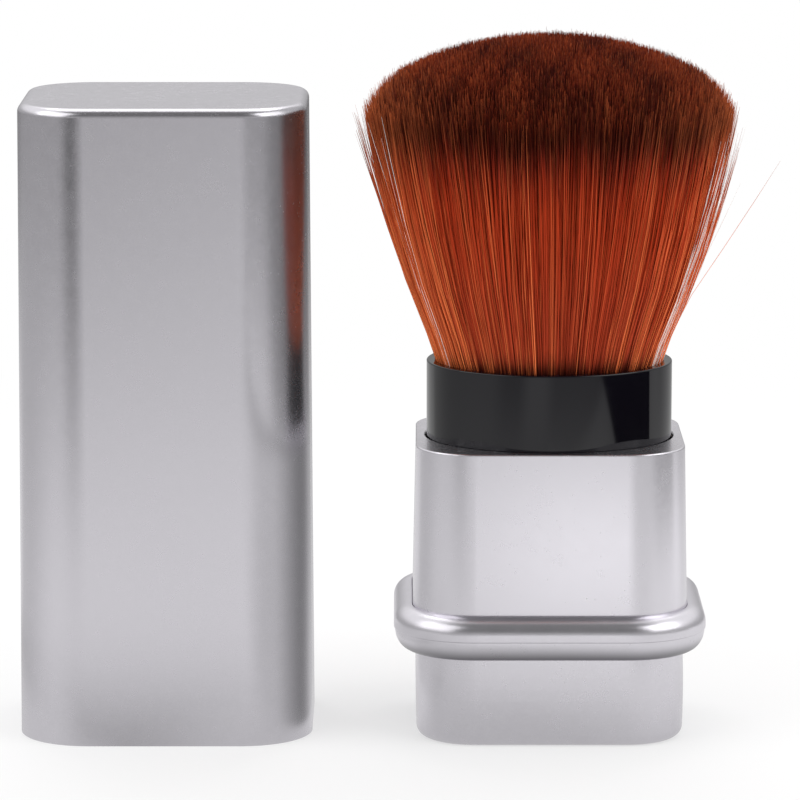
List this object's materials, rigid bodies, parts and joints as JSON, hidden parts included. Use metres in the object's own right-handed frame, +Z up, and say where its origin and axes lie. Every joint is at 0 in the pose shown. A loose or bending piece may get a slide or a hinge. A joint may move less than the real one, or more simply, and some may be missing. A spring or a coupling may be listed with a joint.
{
  "type": "retractable makeup brush",
  "caption": "Domed face brush in a black oval ferrule; a silver collar slides up over the ferrule and hair foot, with a tall silver cap standing beside it.",
  "frame": {"origin": "centre of the base's resting face, on the brush's own upright axis", "axes": "+Z up from the base to the tuft, -Y towards the side that the picture shows, +X to its right; the loose cap stands at -X"},
  "size_m": [0.0989, 0.0406, 0.0959],
  "materials": {
    "satin_silver": "satin anodised",
    "gloss_black": "polished black",
    "white_plastic": "as moulded",
    "grey_plastic": "as moulded",
    "potting_glue": "clear set resin over the hair roots",
    "silicone": "matt",
    "copper_fibre": "soft synthetic hair, copper with a dark brown band under reddish tips"
  },
  "bodies": {
    "base": {"base_shell": "satin_silver", "base_core": "grey_plastic", "carrier": "gloss_black", "friction_ring": "silicone", "ferrule": "gloss_black", "hair_plug": "potting_glue", "tuft_core_front": "copper_fibre", "tuft_core_back": "copper_fibre", "tuft_fringe_left": "copper_fibre", "tuft_fringe_right": "copper_fibre"},
    "sleeve": {"collar_shell": "satin_silver", "guide_tube": "white_plastic", "flange_ring": "satin_silver", "retainer_skirt": "satin_silver"},
    "cap": {"cap_shell": "satin_silver", "cap_liner": "white_plastic"}
  },
  "joints": [
    {"name": "sleeve_slide", "type": "slide", "parent": "base", "child": "sleeve", "axis": [0, 0, 1], "range_m": [0, 0.016], "deforming": ["tuft_fringe_left", "tuft_fringe_right"]},
    {"name": "cap_lift", "type": "slide", "parent": "base", "child": "cap", "axis": [0, 0, 1], "range_m": [0, 0.11]}
  ]
}
